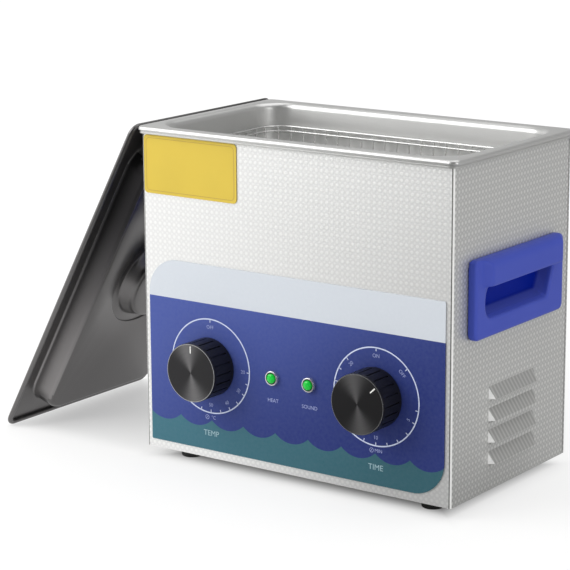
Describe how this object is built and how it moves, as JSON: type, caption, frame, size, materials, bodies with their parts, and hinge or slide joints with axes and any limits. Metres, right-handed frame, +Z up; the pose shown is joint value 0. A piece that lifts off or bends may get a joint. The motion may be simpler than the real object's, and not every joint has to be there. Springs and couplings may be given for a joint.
{
  "type": "benchtop ultrasonic cleaner",
  "caption": "Benchtop ultrasonic cleaner: heated steel tank with wire basket, two control dials, side carrying handles and a lift-off lid leaning on its left end.",
  "frame": {"origin": "middle of the base plate's pressed field, on its underside, 7.3 mm above the floor that the feet stand on", "axes": "+Z up, front with the dials faces -Y, +X to the viewer's right along the long side"},
  "size_m": [0.4094, 0.1873, 0.245],
  "materials": {
    "embossed_steel": "embossed dots, satin",
    "satin_steel": "satin",
    "lid_steel": "smooth, half bright",
    "wire_steel": "bright",
    "bright_metal": "bright",
    "aluminium": "machined",
    "copper": "drawn tube",
    "black_metal": "black anodised, spun face",
    "blue_plastic": "fine satin",
    "blue_print": "printed film",
    "yellow_print": "plain film",
    "green_lens": "clear coloured",
    "black_plastic": "moulded",
    "white_plastic": "moulded",
    "rubber": "matte",
    "ceramic": "fired",
    "ferrite": "sintered",
    "orange_silicone": "moulded",
    "board_green": "lacquered"
  },
  "bodies": {
    "cleaner": {"casing_wrap": "embossed_steel", "rear_panel": "embossed_steel", "base_plate": "embossed_steel", "tank": "satin_steel", "fascia_overlay": "blue_print", "blank_label": "yellow_print", "foot_front_left": "rubber", "foot_front_right": "rubber", "foot_rear_left": "rubber", "foot_rear_right": "rubber", "carry_handle_left": "blue_plastic", "carry_handle_right": "blue_plastic", "temp_body": "white_plastic", "temp_nut": "bright_metal", "time_body": "white_plastic", "time_nut": "bright_metal", "thermostat_bulb": "copper", "thermostat_capillary": "copper", "heat_lamp_bezel": "bright_metal", "heat_lamp_lens": "green_lens", "sound_lamp_bezel": "bright_metal", "sound_lamp_lens": "green_lens", "transducer_horn_left": "aluminium", "transducer_ceramic_left": "ceramic", "transducer_mass_left": "bright_metal", "transducer_horn_right": "aluminium", "transducer_ceramic_right": "ceramic", "transducer_mass_right": "bright_metal", "heater_pad_front": "orange_silicone", "heater_pad_rear": "orange_silicone", "driver_board": "board_green", "board_heatsink": "aluminium", "board_coil": "ferrite", "board_capacitor": "black_plastic", "fan_frame": "black_plastic", "power_inlet": "black_plastic", "switch_body": "black_plastic", "rear_screw_1": "bright_metal", "rear_screw_2": "bright_metal", "rear_screw_3": "bright_metal", "rear_screw_4": "bright_metal"},
    "temp_dial": {"temp_knob": "black_metal", "temp_shaft": "bright_metal"},
    "time_dial": {"time_knob": "black_metal", "time_shaft": "bright_metal"},
    "lid": {"lid": "lid_steel", "lid_grip": "lid_steel"},
    "basket": {"basket_front": "wire_steel", "basket_rear": "wire_steel", "basket_end_left": "wire_steel", "basket_end_right": "wire_steel", "basket_floor": "wire_steel"},
    "bail_left": {"basket_bail_left": "wire_steel"},
    "bail_right": {"basket_bail_right": "wire_steel"},
    "fan": {"fan_rotor": "black_plastic"},
    "fuse_drawer": {"fuse_drawer": "black_plastic"},
    "power_rocker": {"power_rocker": "black_plastic"}
  },
  "joints": [
    {"name": "temp_turn", "type": "hinge", "parent": "cleaner", "child": "temp_dial", "pos_m": [-0.0705, -0.0793, 0.0695], "axis": [0, 1, 0], "range_deg": [0, 270]},
    {"name": "time_turn", "type": "hinge", "parent": "cleaner", "child": "time_dial", "pos_m": [0.0705, -0.0793, 0.0695], "axis": [0, 1, 0], "range_deg": [-47, 265]},
    {"name": "lid_lift", "type": "slide", "parent": "cleaner", "child": "lid", "axis": [-0.8788, 0, 0.4772], "range_m": [0, 0.15]},
    {"name": "basket_lift", "type": "slide", "parent": "cleaner", "child": "basket", "axis": [0, 0, 1], "range_m": [0, 0.16]},
    {"name": "bail_left_swing", "type": "hinge", "parent": "basket", "child": "bail_left", "pos_m": [-0.1095, 0, 0.2138], "axis": [0, -1, 0], "range_deg": [0, 180]},
    {"name": "bail_right_swing", "type": "hinge", "parent": "basket", "child": "bail_right", "pos_m": [0.1095, 0, 0.2138], "axis": [0, 1, 0], "range_deg": [0, 180]},
    {"name": "fan_spin", "type": "hinge", "parent": "cleaner", "child": "fan", "pos_m": [-0.066, 0.0662, 0.059], "axis": [0, 1, 0], "continuous": true},
    {"name": "fuse_drawer_slide", "type": "slide", "parent": "cleaner", "child": "fuse_drawer", "axis": [0, 1, 0], "range_m": [0, 0.016]},
    {"name": "power_switch", "type": "hinge", "parent": "cleaner", "child": "power_rocker", "pos_m": [0.072, 0.0783, 0.093], "axis": [1, 0, 0], "range_deg": [0, 22]}
  ]
}
